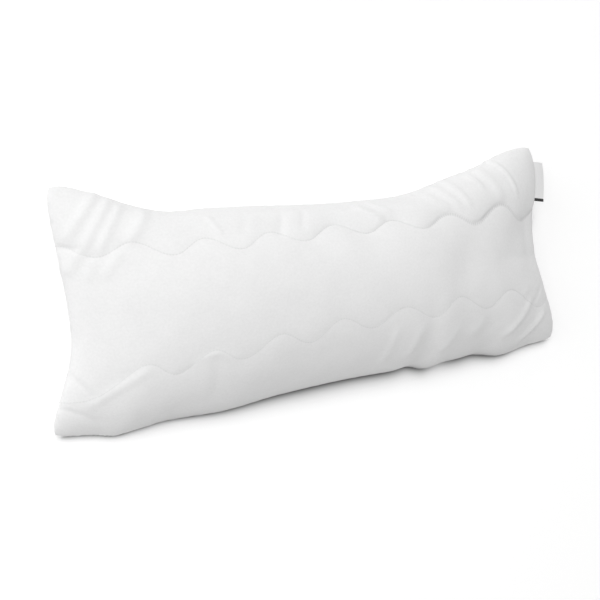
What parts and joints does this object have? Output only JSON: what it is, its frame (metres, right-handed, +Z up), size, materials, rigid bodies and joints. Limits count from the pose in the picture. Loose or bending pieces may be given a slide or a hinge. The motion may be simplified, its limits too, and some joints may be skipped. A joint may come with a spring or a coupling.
{
  "type": "lumbar pillow insert",
  "caption": "Filled rectangular lumbar pillow insert, quilted in wavy rows, with a folded side label, lying on its back.",
  "frame": {"origin": "on the flat rest face under the middle of the pillow", "axes": "+X along the pillow to the label's side, +Y across it to its drawn-in side, +Z up, out of its front face"},
  "size_m": [0.718, 0.2947, 0.1234],
  "materials": {
    "cover_cloth": "brushed white microfibre cloth, matt with a soft sheen",
    "label_tape": "white satin tape"
  },
  "bodies": {
    "root": {"cover": "cover_cloth", "label": "label_tape"}
  },
  "joints": []
}
